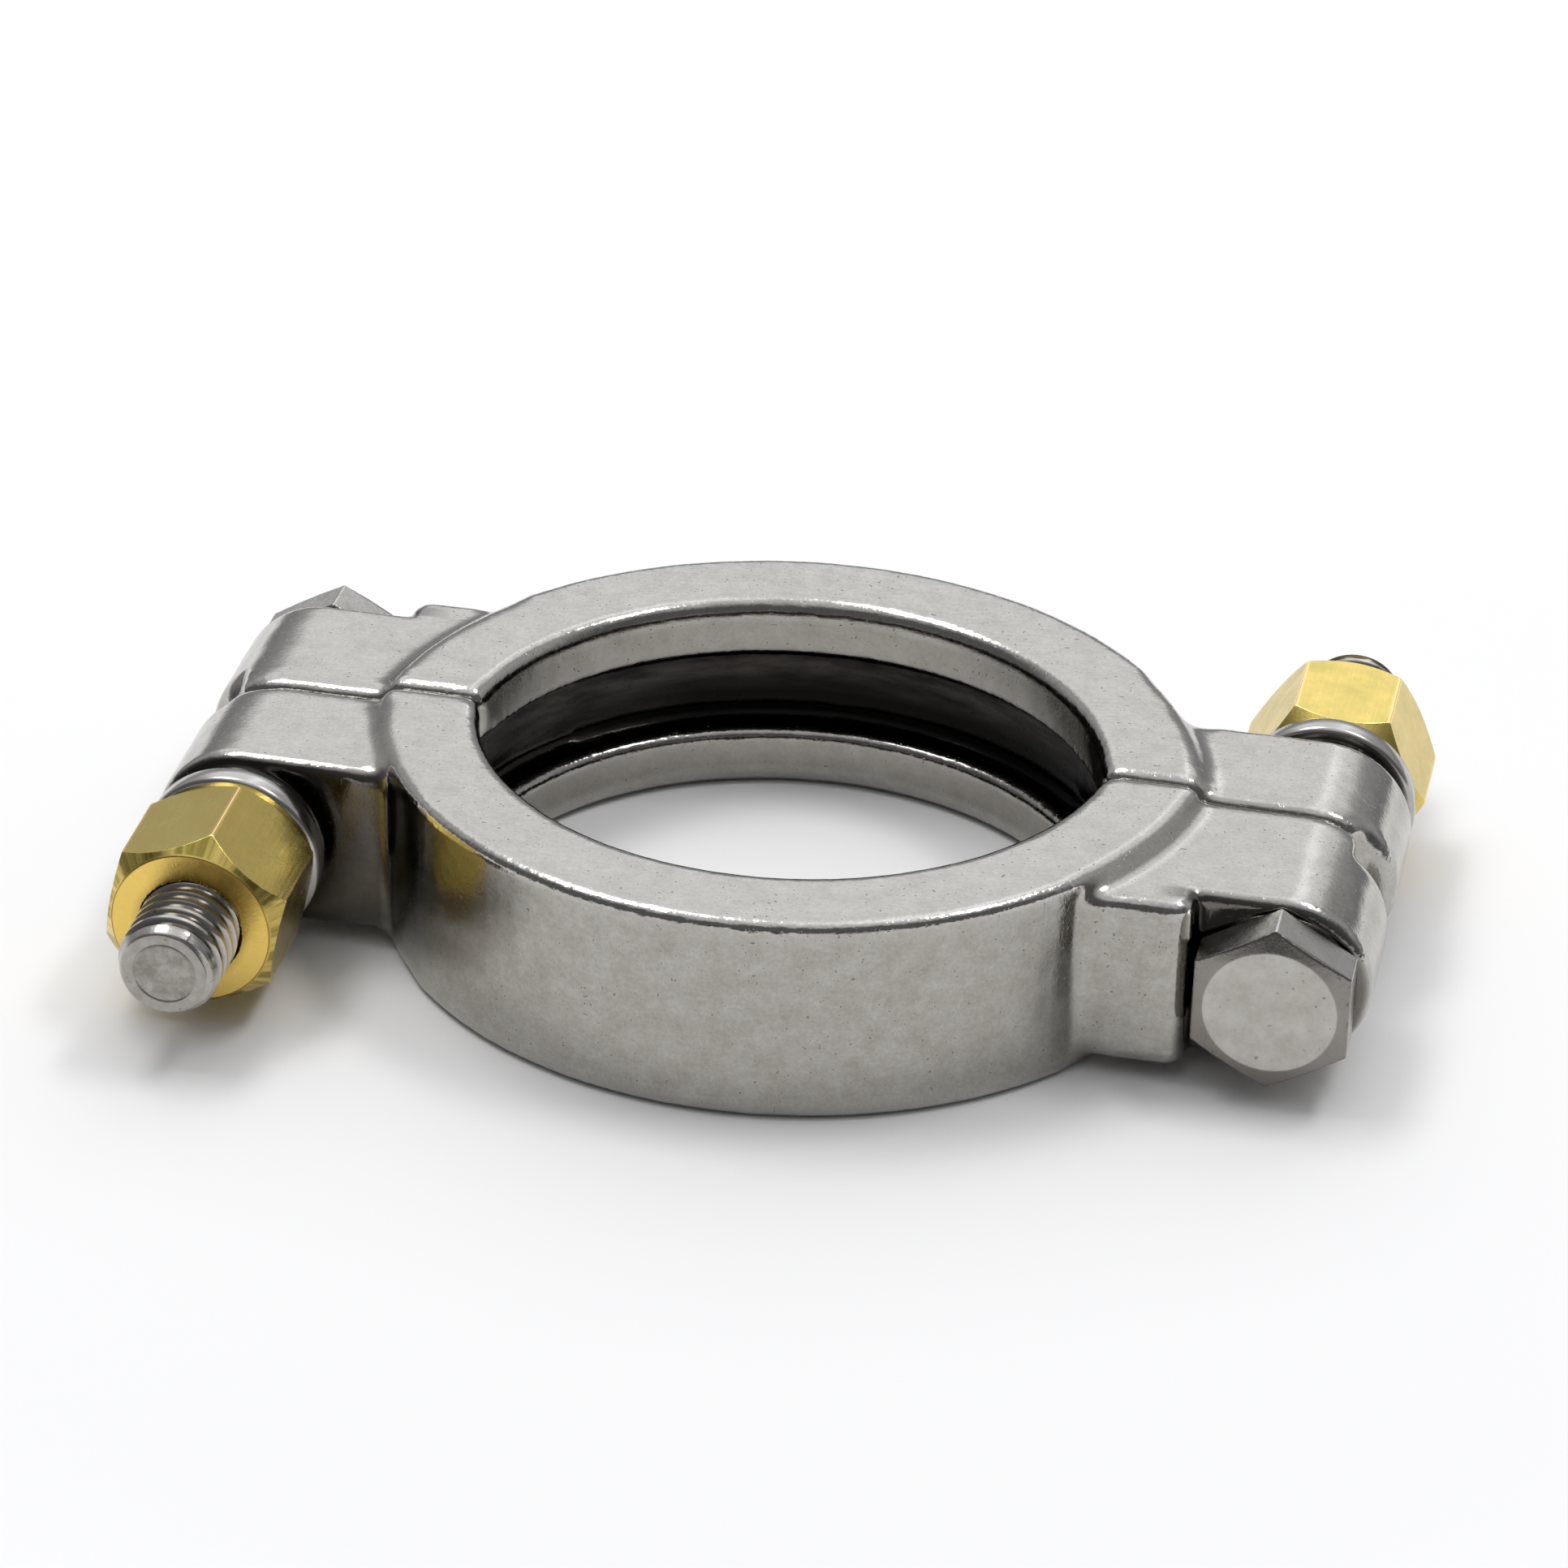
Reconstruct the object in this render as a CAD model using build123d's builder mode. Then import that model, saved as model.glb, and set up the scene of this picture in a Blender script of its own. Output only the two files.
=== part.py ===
from build123d import *
import os
from math import cos, hypot, radians, tan

# Two-bolt high-pressure clamp for a pair of 64 mm sanitary ferrules, in millimetres.
# The origin is on the ring's axis at its bottom face, +Z is the ring's axis, +X runs
# through the right lug and +Y away from the front half. The halves meet at Y = 0.
# Both halves are the same casting: the rear one is the front one turned half a turn.

# Ring
lip_r = 29.95  # bore of the two lips, which clears the ferrules' tubes
lip_t = 5.8  # height of each lip at its bore
groove_mouth = 9.0  # between the lips, at their bore
groove_depth = 3.1  # from the lips' bore to the groove's floor
groove_flank = 20.0  # degrees, the ferrules' taper
wall_t = 6.35  # from the groove's floor to the outer wall
arc_offset = 3.94  # from the split to each half's own centre, so the closed hole is an oval
ring_edge_r = 1.0  # outer top and bottom edges
bore_edge_r = 1.5  # inner top and bottom edges
lip_edge_r = 0.9  # where a lip turns into the groove
groove_floor_r = 0.8

# Split
split_gap = 0.36
split_edge_r = 0.85
past_split = 2.0  # length of an uncut lug beyond the split
relief_w = 3.8  # set-back strip at the end of each lug's mating face
head_relief_depth = 2.2
head_relief_edge_r = 3.0
nut_relief_depth = 1.4
nut_relief_edge_r = 1.1

# Lugs
bolt_reach = 9.65  # from the ring's outer wall to a bolt's axis, at the split
lug_step = 1.65  # from the ring's flat faces to the lugs'
nut_lug_t = 14.6  # from the split to the lug's outer face
head_lug_t = 17.0
lug_edge_r = 1.15
root_r = 0.6  # concave blend from a lug into the ring's wall, at most what its step leaves
boss_r = 7.3  # raised seat of the lock washer
boss_h = 1.8
stop_h = 3.2  # block beside the bolt's head, which stops the head turning
stop_corner_r = 2.0

# Bolts, 3/8-16 by 2 1/4 inch
bolt_d = 9.525
bolt_length = 57.15
head_af = 14.2875
head_h = 5.2
head_face_r = 6.4
head_chamfer = 0.65  # along the axis, at the corners
seat_face_r = 6.9  # round bearing face under the head
seat_face_t = 0.45
tip_chamfer = 1.25
bolt_hole_clearance = 0.24
head_clearance = 0.6  # from the head's flat to the stop block

# Split lock washers
washer_r = 8.5
washer_hole_clearance = 0.2
washer_t = 2.44
washer_edge_r = 0.5
slit_w = 0.5
slit_tilt = 12.0
slit_angles = {"right": -3.0, "left": 140.0}  # about the bolt, from its outward side downwards

# Nuts
nut_af = 15.875
nut_h = 12.95
nut_face_r = 7.47
nut_chamfer = 1.98  # along the axis, at the corners
nut_clearance = 0.06  # thread running clearance, and the nut's gap to its washer
nut_corner_angles = {"right": 4.1, "left": 19.4}  # as slit_angles

ring_h = groove_mouth + 2 * lip_t
mid_z = ring_h / 2
groove_r = lip_r + groove_depth
ring_outer_r = groove_r + wall_t
bolt_x = ring_outer_r + bolt_reach
lug_h = ring_h - 2 * lug_step
lug_end_x = bolt_x + lug_h / 2
bolt_hole_r = bolt_d / 2 + bolt_hole_clearance
stop_x = bolt_x - head_af / 2 - head_clearance
head_corner_r = head_af / 2 / cos(radians(30))
nut_corner_r = nut_af / 2 / cos(radians(30))
washer_seat = nut_lug_t + boss_h
nut_seat = washer_seat + washer_t + nut_clearance

# The front half's own axis, and a plane through it for sections, with X outwards
half_axis = Axis((0, arc_offset, 0), (0, 0, 1))
half_section = Plane(origin=(0, arc_offset, 0), x_dir=(1, 0, 0), z_dir=(0, -1, 0))

# Each bolt's axis starts at the split and points to the bolt's tip, with X outwards
bolt_planes = {
    "right": Plane(origin=(bolt_x, 0, mid_z), x_dir=(1, 0, 0), z_dir=(0, 1, 0)),
    "left": Plane(origin=(-bolt_x, 0, mid_z), x_dir=(-1, 0, 0), z_dir=(0, -1, 0)),
}

os.makedirs("parts", exist_ok=True)


def on_ring_wall(edge):
    """True for an edge that lies on the outer wall of the front half's ring, beside a lug."""
    beside_lug = abs(edge.center().Z - mid_z) < lug_h / 2 + 0.01
    spots = [edge.position_at(t) for t in (0, 0.5, 1)]
    return beside_lug and all(abs(hypot(p.X, p.Y - arc_offset) - ring_outer_r) < 0.01 for p in spots)


def on_split_edge(edge):
    """True for an edge round the front half's mating faces."""
    return all(abs(edge.position_at(t).Y + split_gap / 2) < 0.01 for t in (0, 0.5, 1))


# Lugs of one half, from past the split to their outer faces. The mating face of each has its
# set-back strip at the end, and the rims of the strip and of the outer face are rounded.
with BuildPart() as lugs:
    for side, lug_t, strip_depth, strip_edge_r in (
        (1, head_lug_t, head_relief_depth, head_relief_edge_r),
        (-1, nut_lug_t, nut_relief_depth, nut_relief_edge_r),
    ):
        strip_y = -split_gap / 2 - strip_depth
        with BuildSketch(Plane.XZ.offset(-past_split)):
            with Locations((side * bolt_x / 2, mid_z)):
                Rectangle(bolt_x, lug_h)
            with Locations((side * bolt_x, mid_z)):
                Circle(lug_h / 2)
        extrude(amount=lug_t + past_split)
        with BuildSketch(Plane.XZ.offset(-strip_y)):
            with Locations((side * (lug_end_x - relief_w + bolt_x / 2), mid_z)):
                Rectangle(bolt_x, ring_h)
        extrude(amount=strip_y - past_split, mode=Mode.SUBTRACT)
        ends = lugs.faces().filter_by(Axis.Y).filter_by(lambda f: side * f.center().X > 0)
        outer_rim = [edge for edge in ends.sort_by(Axis.Y)[0].edges() if abs(edge.center().X) > bolt_x / 4]
        fillet(outer_rim, lug_edge_r)
        strip_rim = [
            edge for edge in lugs.edges().filter_by(GeomType.CIRCLE)
            if side * edge.center().X > 0 and abs(edge.position_at(0.5).Y - strip_y) < 0.01
        ]
        fillet(strip_rim, strip_edge_r)

# Block beside the bolt's head, as high as the lug
with BuildPart() as stop:
    with BuildSketch(Plane.XY.offset(mid_z - lug_h / 2)):
        with Locations((stop_x / 2, -(head_lug_t + stop_h) / 2)):
            Rectangle(stop_x, head_lug_t + stop_h)
        fillet(vertices().sort_by(Axis.Y)[:2].sort_by(Axis.X)[-1], stop_corner_r)
    extrude(amount=lug_h)
    ends = stop.faces().filter_by(Axis.Z)
    fillet([edge for edge in ends.edges() if edge.center().Y < -head_lug_t / 4], lug_edge_r)

# Front half: a grooved half ring with the head lug on its right and the nut lug on its left
with BuildPart() as front_half:
    add(lugs.part)
    add(stop.part)
    with BuildSketch(Plane.XY):
        with Locations((0, arc_offset)):
            Circle((groove_r + ring_outer_r) / 2)
    extrude(amount=ring_h, mode=Mode.SUBTRACT)

    # Ring's wall, with both lips and the groove between them
    with BuildSketch(half_section):
        floor_half_w = groove_mouth / 2 - groove_depth * tan(radians(groove_flank))
        with BuildLine():
            Polyline(
                (ring_outer_r, 0),
                (ring_outer_r, ring_h),
                (lip_r, ring_h),
                (lip_r, mid_z + groove_mouth / 2),
                (groove_r, mid_z + floor_half_w),
                (groove_r, mid_z - floor_half_w),
                (lip_r, mid_z - groove_mouth / 2),
                (lip_r, 0),
                close=True,
            )
        make_face()
        fillet(vertices().group_by(Axis.X)[-1], ring_edge_r)
        bore_corners = vertices().group_by(Axis.X)[0].sort_by(Axis.Y)
        fillet([bore_corners[0], bore_corners[-1]], bore_edge_r)
        fillet(vertices().group_by(Axis.X)[0].sort_by(Axis.Y)[1:-1], lip_edge_r)
        fillet([v for v in vertices() if abs(v.X - groove_r) < 0.01], groove_floor_r)
    revolve(axis=half_axis)
    fillet(front_half.edges().filter_by(on_ring_wall), min(root_r, 0.95 * (lug_step - ring_edge_r)))

    # Seat of the lock washer on the nut lug
    with BuildSketch(Plane.XZ.offset(nut_lug_t - lug_edge_r)):
        with Locations((-bolt_x, mid_z)):
            Circle(boss_r)
    extrude(amount=boss_h + lug_edge_r)

    # Mating faces, with the set-back strip at each end
    split(bisect_by=Plane.XZ.offset(split_gap / 2))
    fillet(front_half.edges().filter_by(on_split_edge), split_edge_r)

    # Bolt holes
    with BuildSketch(Plane.XZ):
        with Locations((bolt_x, mid_z), (-bolt_x, mid_z)):
            Circle(bolt_hole_r)
    extrude(amount=head_lug_t + stop_h, mode=Mode.SUBTRACT)
front_half.part.label = "front_half"
export_step(front_half.part, "parts/front_half.step")

# Rear half: the same casting, turned half a turn
with BuildPart() as rear_half:
    add(front_half.part, rotation=(0, 0, 180))
rear_half.part.label = "rear_half"
export_step(rear_half.part, "parts/rear_half.step")

# Bolts: a hexagon head that lies on the head lug, and a shank through both lugs
for side, axis_plane in bolt_planes.items():
    with BuildPart() as bolt:
        with BuildSketch(axis_plane.offset(-head_lug_t - seat_face_t)):
            RegularPolygon(head_af / 2, 6, major_radius=False, rotation=30)
        extrude(amount=seat_face_t - head_h)
        with BuildSketch(Plane(axis_plane.origin, x_dir=axis_plane.x_dir, z_dir=(0, 0, 1))):
            with BuildLine():
                Polyline(
                    (0, -head_lug_t),
                    (head_corner_r, -head_lug_t),
                    (head_corner_r, -head_lug_t - head_h + head_chamfer),
                    (head_face_r, -head_lug_t - head_h),
                    (0, -head_lug_t - head_h),
                    close=True,
                )
            make_face()
        revolve(axis=Axis(axis_plane.origin, axis_plane.z_dir), mode=Mode.INTERSECT)
        with BuildSketch(axis_plane.offset(-head_lug_t)):
            Circle(seat_face_r)
        extrude(amount=-seat_face_t)
        with BuildSketch(axis_plane.offset(-head_lug_t)):
            Circle(bolt_d / 2)
        extrude(amount=bolt_length)
        tip_face = bolt.faces().sort_by(Axis(axis_plane.origin, axis_plane.z_dir))[-1]
        chamfer(tip_face.edges(), tip_chamfer)
    bolt.part.label = f"{side}_bolt"
    export_step(bolt.part, f"parts/{side}_bolt.step")

# Lock washers: one turn of rounded square wire, cut through on a slant
for side, axis_plane in bolt_planes.items():
    with BuildPart() as washer:
        with BuildSketch(axis_plane.offset(washer_seat)):
            Circle(washer_r)
            Circle(bolt_d / 2 + washer_hole_clearance, mode=Mode.SUBTRACT)
        extrude(amount=washer_t)
        fillet(washer.edges().filter_by(GeomType.CIRCLE), washer_edge_r)
        middle = axis_plane.offset(washer_seat + washer_t / 2)
        outwards = axis_plane.x_dir.rotate(Axis((0, 0, 0), axis_plane.z_dir), slit_angles[side])
        with BuildSketch(Plane(middle.origin, x_dir=axis_plane.z_dir, z_dir=outwards)):
            Rectangle(3 * washer_t, slit_w, rotation=-slit_tilt)
        extrude(amount=washer_r + washer_t, mode=Mode.SUBTRACT)
    washer.part.label = f"{side}_lock_washer"
    export_step(washer.part, f"parts/{side}_lock_washer.step")

# Nuts: thick hexagons, chamfered at both ends
for side, axis_plane in bolt_planes.items():
    with BuildPart() as nut:
        with BuildSketch(axis_plane.offset(nut_seat)):
            RegularPolygon(nut_af / 2, 6, major_radius=False, rotation=nut_corner_angles[side])
        extrude(amount=nut_h)
        with BuildSketch(Plane(axis_plane.origin, x_dir=axis_plane.x_dir, z_dir=(0, 0, 1))):
            with BuildLine():
                Polyline(
                    (bolt_d / 2 + nut_clearance, nut_seat),
                    (nut_face_r, nut_seat),
                    (nut_corner_r, nut_seat + nut_chamfer),
                    (nut_corner_r, nut_seat + nut_h - nut_chamfer),
                    (nut_face_r, nut_seat + nut_h),
                    (bolt_d / 2 + nut_clearance, nut_seat + nut_h),
                    close=True,
                )
            make_face()
        revolve(axis=Axis(axis_plane.origin, axis_plane.z_dir), mode=Mode.INTERSECT)
    nut.part.label = f"{side}_nut"
    export_step(nut.part, f"parts/{side}_nut.step")
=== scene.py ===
from math import cos, hypot, radians, sin, sqrt, tau

import bpy
from mathutils import Matrix, Vector


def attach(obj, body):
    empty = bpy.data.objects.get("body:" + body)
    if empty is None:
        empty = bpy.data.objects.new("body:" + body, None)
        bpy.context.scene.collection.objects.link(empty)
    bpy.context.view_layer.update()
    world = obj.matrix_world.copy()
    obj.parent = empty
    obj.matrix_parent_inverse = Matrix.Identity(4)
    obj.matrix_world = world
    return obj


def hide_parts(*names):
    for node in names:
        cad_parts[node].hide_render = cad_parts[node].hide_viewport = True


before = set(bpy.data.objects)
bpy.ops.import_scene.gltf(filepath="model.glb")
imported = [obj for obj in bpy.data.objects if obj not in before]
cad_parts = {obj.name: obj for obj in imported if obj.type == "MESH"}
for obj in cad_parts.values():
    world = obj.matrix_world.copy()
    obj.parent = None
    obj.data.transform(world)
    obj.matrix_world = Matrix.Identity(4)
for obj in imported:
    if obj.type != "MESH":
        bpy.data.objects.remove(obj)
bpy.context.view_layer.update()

# The photograph's view: a long lens from the front, a little to the right and well above,
# with the clamp lying on its ring. The camera is turned slightly about its own line of sight.
camera_place = Vector((0.0959, -0.4976, 0.3014))
camera_heading = radians(-10.951)
camera_dip = radians(29.484)
camera_roll = radians(1.732)
camera_lens = 142.07
camera_sensor = 36
camera_near = 0.01

forward = Vector((sin(camera_heading) * cos(camera_dip), cos(camera_heading) * cos(camera_dip),
                  -sin(camera_dip)))
level_right = Vector((cos(camera_heading), -sin(camera_heading), 0))
level_up = level_right.cross(forward)
right = level_right * cos(camera_roll) + level_up * sin(camera_roll)
up = level_up * cos(camera_roll) - level_right * sin(camera_roll)
bpy.ops.object.camera_add()
camera = bpy.context.object
camera.matrix_world = Matrix.Translation(camera_place) @ Matrix((right, up, -forward)).transposed().to_4x4()
camera.data.sensor_width = camera_sensor
camera.data.lens = camera_lens
camera.data.clip_start = camera_near
bpy.context.scene.camera = camera

# Studio: a sheet of white paper, brighter away from the clamp by a painted glow, and two soft
# boxes overhead, the left one stronger. Behind the clamp stands a white screen with a bright strip.
# In front of the clamp the paper is painted dark where it is seen in reflections, a painted
# dark reflection, and the room is dim below its pale ceiling.
floor_size = 6.0
paper_near = 0.10
paper_far = 0.24
paper_glow = 0.30
# Where the paper starts and is fully painted dark in reflections
reflect_dark_from = -0.15
reflect_dark_full = -0.24
left_box_power = 2.75
right_box_power = 2.0
room_dim = 0.15
room_low = 0.26
room_mid = 0.54
room_high = 1.42
room_ceiling = 0.85
room_strip = 0.7

# Where the room's parts begin and end, as parts of a direction of length one
back_from, back_full = -0.25, 0.35
wall_top = 0.38
screen_foot, screen_full = 0.33, 0.44
screen_fade_from, screen_fade_to, screen_top = 0.455, 0.53, 0.85
screen_middle, screen_side, screen_side_end = -0.1, 0.34, 0.56
strip_middle, strip_half = 0.07, 0.11
ceiling_from, ceiling_full = 0.55, 0.97

bpy.ops.mesh.primitive_plane_add(size=floor_size)
floor = bpy.context.object
floor.name = "floor"


def shade(tree, kind, inputs=None, **settings):
    """A node of a material, with its settings, and its inputs set or linked."""
    node = tree.nodes.new("ShaderNode" + kind)
    for name, value in settings.items():
        setattr(node, name, value)
    for socket, value in (inputs or {}).items():
        if isinstance(value, bpy.types.NodeSocket):
            tree.links.new(value, node.inputs[socket])
        else:
            node.inputs[socket].default_value = value
    return node


def reckon(tree, operation, first, second=0.0):
    """One sum of a material: what an operation makes of one or two values."""
    return shade(tree, "Math", {0: first, 1: second}, operation=operation).outputs[0]


def between(tree, value, none_at, all_at):
    """A mask that goes from 0 to 1 as a value goes from one limit to the other."""
    limits = {"Value": value, "From Min": none_at, "From Max": all_at}
    return shade(tree, "MapRange", limits).outputs["Result"]


def eased(tree, value, start, end, low, high):
    """A value that goes softly from low to high as another goes from start to end."""
    limits = {"Value": value, "From Min": start, "From Max": end, "To Min": low, "To Max": high}
    return shade(tree, "MapRange", limits, interpolation_type="SMOOTHSTEP").outputs["Result"]


def soft_box(name, place, target, width, height, power):
    """An area lamp that faces its target."""
    bpy.ops.object.light_add(type="AREA", location=place)
    lamp = bpy.context.object
    lamp.name = name
    lamp.data.shape = "RECTANGLE"
    lamp.data.size = width
    lamp.data.size_y = height
    lamp.data.energy = power
    lamp.rotation_euler = (Vector(target) - Vector(place)).to_track_quat("-Z", "Y").to_euler()
    return lamp


soft_box("left_box", (-0.34, 0.12, 0.88), (0, 0, 0), 0.50, 0.26, left_box_power)
soft_box("right_box", (0.38, 0.16, 0.88), (0, 0, 0), 0.34, 0.16, right_box_power)

paper = bpy.data.materials.new("white_paper")
paper.use_nodes = True
tree = paper.node_tree
tree.nodes.clear()
place = shade(tree, "TexCoord")
reach = shade(tree, "VectorMath", {0: place.outputs["Object"]}, operation="LENGTH")
# Painted glow: the paper glows more the farther it lies from the clamp.
away = eased(tree, reach.outputs["Value"], paper_near, paper_far, 0.0, paper_glow)
path = shade(tree, "LightPath")
depth = shade(tree, "SeparateXYZ", {0: place.outputs["Object"]})
# Painted reflection: in glossy rays the paper in front of the clamp turns dark and loses its glow.
beyond = between(tree, depth.outputs["Y"], reflect_dark_from, reflect_dark_full)
dark_in_reflections = reckon(tree, "MULTIPLY", beyond, path.outputs["Is Glossy Ray"])
colour = shade(tree, "Mix", {"Factor": dark_in_reflections, "A": (0.88, 0.87, 0.86, 1), "B": (0.05, 0.045, 0.04, 1)},
               data_type="RGBA")
sheet = shade(tree, "BsdfDiffuse", {"Color": colour.outputs["Result"]})
glowing = shade(tree, "Mix", {"Factor": dark_in_reflections, "A": away, "B": 0.0})
glow = shade(tree, "Emission", {"Color": (1, 1, 1, 1), "Strength": glowing.outputs["Result"]})
lifted = shade(tree, "AddShader", {0: sheet.outputs[0], 1: glow.outputs[0]})
seen = reckon(tree, "MAXIMUM", path.outputs["Is Camera Ray"], path.outputs["Is Glossy Ray"])
choice = shade(tree, "MixShader", {0: seen, 1: sheet.outputs[0], 2: lifted.outputs[0]})
shade(tree, "OutputMaterial", {0: choice.outputs[0]})
floor.data.materials.append(paper)

world = bpy.data.worlds.new("studio")
bpy.context.scene.world = world
world.use_nodes = True
tree = world.node_tree
tree.nodes.clear()
place = shade(tree, "TexCoord")
toward = shade(tree, "SeparateXYZ", {0: place.outputs["Generated"]})
behind = eased(tree, toward.outputs["Y"], back_from, back_full, 0.0, 1.0)
low_wall = shade(tree, "MapRange", {"Value": toward.outputs["Z"], "From Min": 0.0, "From Max": wall_top,
                                    "To Min": room_low, "To Max": room_mid})
screen = eased(tree, toward.outputs["Z"], screen_foot, screen_full, 0.0, room_high - room_mid)
top_fade = shade(tree, "MapRange", {"Value": toward.outputs["Z"], "From Min": screen_fade_from,
                                    "From Max": screen_fade_to, "To Min": 1.0, "To Max": screen_top})
off_screen = reckon(tree, "ABSOLUTE", reckon(tree, "SUBTRACT", toward.outputs["X"], screen_middle))
side_fade = eased(tree, off_screen, screen_side, screen_side_end, 1.0, 0.0)
screen_fade = reckon(tree, "MULTIPLY", top_fade.outputs["Result"], side_fade)
screen = reckon(tree, "MULTIPLY", screen, screen_fade)
off_strip = reckon(tree, "ABSOLUTE", reckon(tree, "SUBTRACT", toward.outputs["X"], strip_middle))
strip = eased(tree, off_strip, strip_half, 0.0, 0.0, room_strip)
lit_strip = shade(tree, "Mix", {"Factor": screen, "A": 0.0, "B": strip})
height = reckon(tree, "ADD", low_wall.outputs["Result"], screen)
height = reckon(tree, "ADD", height, lit_strip.outputs["Result"])
ceiling = eased(tree, toward.outputs["Z"], ceiling_from, ceiling_full, room_dim, room_ceiling)
level = shade(tree, "Mix", {"Factor": behind, "A": ceiling, "B": height})
room = shade(tree, "Background", {"Color": (0.98, 1.0, 1.04, 1), "Strength": level.outputs["Result"]})
white = shade(tree, "Background", {"Color": (1, 1, 1, 1), "Strength": 1.0})
path = shade(tree, "LightPath")
choice = shade(tree, "MixShader", {0: path.outputs["Is Camera Ray"], 1: room.outputs[0], 2: white.outputs[0]})
shade(tree, "OutputWorld", {0: choice.outputs[0]})
bpy.context.scene.view_settings.view_transform = "Standard"

# Half castings: investment-cast stainless steel, tumbled until the faces are satin and the
# edges bright. The solid's own shape is kept, with its edges worn soft and its roots blended
# as tumbling leaves them, with small dents along its edges and the slight waves of a casting.
cast_voxel = 0.00035
cast_smooth_steps = 6
cast_root_steps = 50
cast_root_reach = 0.0034
cast_root_gain = 1.6
cast_groove_reach = 0.0015
cast_seam_steps = 36
cast_seam_reach = 0.0028
cast_seam_from, cast_seam_to = 0.0012, 0.0150
cast_split_steps = 26
cast_split_reach = 0.0017
rear_split_steps = 55
rear_split_reach = 0.0023
cast_wave_size = 0.0045
cast_wave_height = 0.00007
cast_dent_size = 0.0015
cast_dent_depth = 0.00004
groove_floor_r = 0.03305
groove_floor_half = 0.0034
ring_outer_r = 0.0394
root_out = 0.0004
root_past_lug = 0.0006
hole_side_x = 0.025
split_clear = 0.0016
round_end_x = 0.043
half_centre_offset = 0.00394
ring_middle = 0.0103
lug_t = 0.017
bolt_x = 0.04905

effect = bpy.data.node_groups.new("metal_marks", "ShaderNodeTree")
effect.interface.new_socket("Place", in_out="INPUT", socket_type="NodeSocketVector")
for socket in ("Patch Scale", "Grain Scale", "Pit Scale"):
    effect.interface.new_socket(socket, in_out="INPUT", socket_type="NodeSocketFloat")
for socket in ("Patches", "Grain", "Pits", "Streaks"):
    effect.interface.new_socket(socket, in_out="OUTPUT", socket_type="NodeSocketFloat")
ways_in = effect.nodes.new("NodeGroupInput")
ways_out = effect.nodes.new("NodeGroupOutput")
spot = ways_in.outputs["Place"]
patches = shade(effect, "TexNoise", {"Vector": spot, "Scale": ways_in.outputs["Patch Scale"],
                                     "Detail": 6.0, "Roughness": 0.7})
spread = shade(effect, "MapRange", {"Value": patches.outputs["Fac"], "From Min": 0.34, "From Max": 0.66})
grain = shade(effect, "TexNoise", {"Vector": spot, "Scale": ways_in.outputs["Grain Scale"],
                                   "Detail": 3.0, "Roughness": 0.7})
speck = shade(effect, "TexNoise", {"Vector": spot, "Scale": ways_in.outputs["Pit Scale"],
                                   "Detail": 1.0, "Roughness": 0.4})
pits = shade(effect, "MapRange", {"Value": speck.outputs["Fac"], "From Min": 0.71, "From Max": 0.77})
drawn_out = shade(effect, "VectorMath", {0: spot, 1: (0.16, 1.0, 1.0)}, operation="MULTIPLY")
strokes = shade(effect, "TexNoise", {"Vector": drawn_out.outputs["Vector"],
                                     "Scale": ways_in.outputs["Grain Scale"], "Detail": 2.0,
                                     "Roughness": 0.6})
effect.links.new(spread.outputs["Result"], ways_out.inputs["Patches"])
effect.links.new(grain.outputs["Fac"], ways_out.inputs["Grain"])
effect.links.new(pits.outputs["Result"], ways_out.inputs["Pits"])
effect.links.new(strokes.outputs["Fac"], ways_out.inputs["Streaks"])


def new_metal(name):
    """A bare metal, with its tree and its shader."""
    metal = bpy.data.materials.new(name)
    metal.use_nodes = True
    skin = metal.node_tree.nodes["Principled BSDF"]
    skin.inputs["Metallic"].default_value = 1.0
    return metal, metal.node_tree, skin


def marked(tree, place, patch_scale, grain_scale, pit_scale):
    """The marks of a metal, each at its own scale."""
    marks = tree.nodes.new("ShaderNodeGroup")
    marks.node_tree = effect
    tree.links.new(place, marks.inputs["Place"])
    marks.inputs["Patch Scale"].default_value = patch_scale
    marks.inputs["Grain Scale"].default_value = grain_scale
    marks.inputs["Pit Scale"].default_value = pit_scale
    return marks


def tint(tree, mask, low, high):
    """A colour that goes from low to high as its mask does."""
    mixed = shade(tree, "Mix", {"Factor": mask, "A": low, "B": high}, data_type="RGBA")
    return mixed.outputs["Result"]


steel, tree, skin = new_metal("tumbled_steel")
place = shade(tree, "TexCoord").outputs["Object"]
marks = marked(tree, place, 400.0, 2600.0, 2600.0)
apart = shade(tree, "SeparateXYZ", {0: place})

out_x = reckon(tree, "ABSOLUTE", apart.outputs["X"])
out_y = reckon(tree, "ABSOLUTE", apart.outputs["Y"])
depth_in_half = reckon(tree, "ADD", out_y, half_centre_offset)
flat = shade(tree, "CombineXYZ", {"X": apart.outputs["X"], "Y": depth_in_half})
ring_r = shade(tree, "VectorMath", {0: flat.outputs[0]}, operation="LENGTH").outputs["Value"]
from_middle = reckon(tree, "ABSOLUTE", reckon(tree, "SUBTRACT", apart.outputs["Z"], ring_middle))
upright = between(tree, from_middle, 0.0086, 0.0078)
contrast = reckon(tree, "ADD", reckon(tree, "MULTIPLY", upright, 0.40), 0.4)
patch = reckon(tree, "ADD", reckon(tree, "MULTIPLY", reckon(tree, "SUBTRACT", marks.outputs["Patches"], 0.5),
                                   contrast), 0.5)
patchy = tint(tree, patch, (0.365, 0.347, 0.31, 1), (0.475, 0.462, 0.43, 1))
fine_mask = reckon(tree, "ADD", reckon(tree, "MULTIPLY", marks.outputs["Grain"], 0.75),
                   reckon(tree, "MULTIPLY", marks.outputs["Streaks"], 0.25))
fine = tint(tree, between(tree, fine_mask, 0.36, 0.64), (0.89, 0.89, 0.89, 1), (1.08, 1.08, 1.08, 1))


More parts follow.
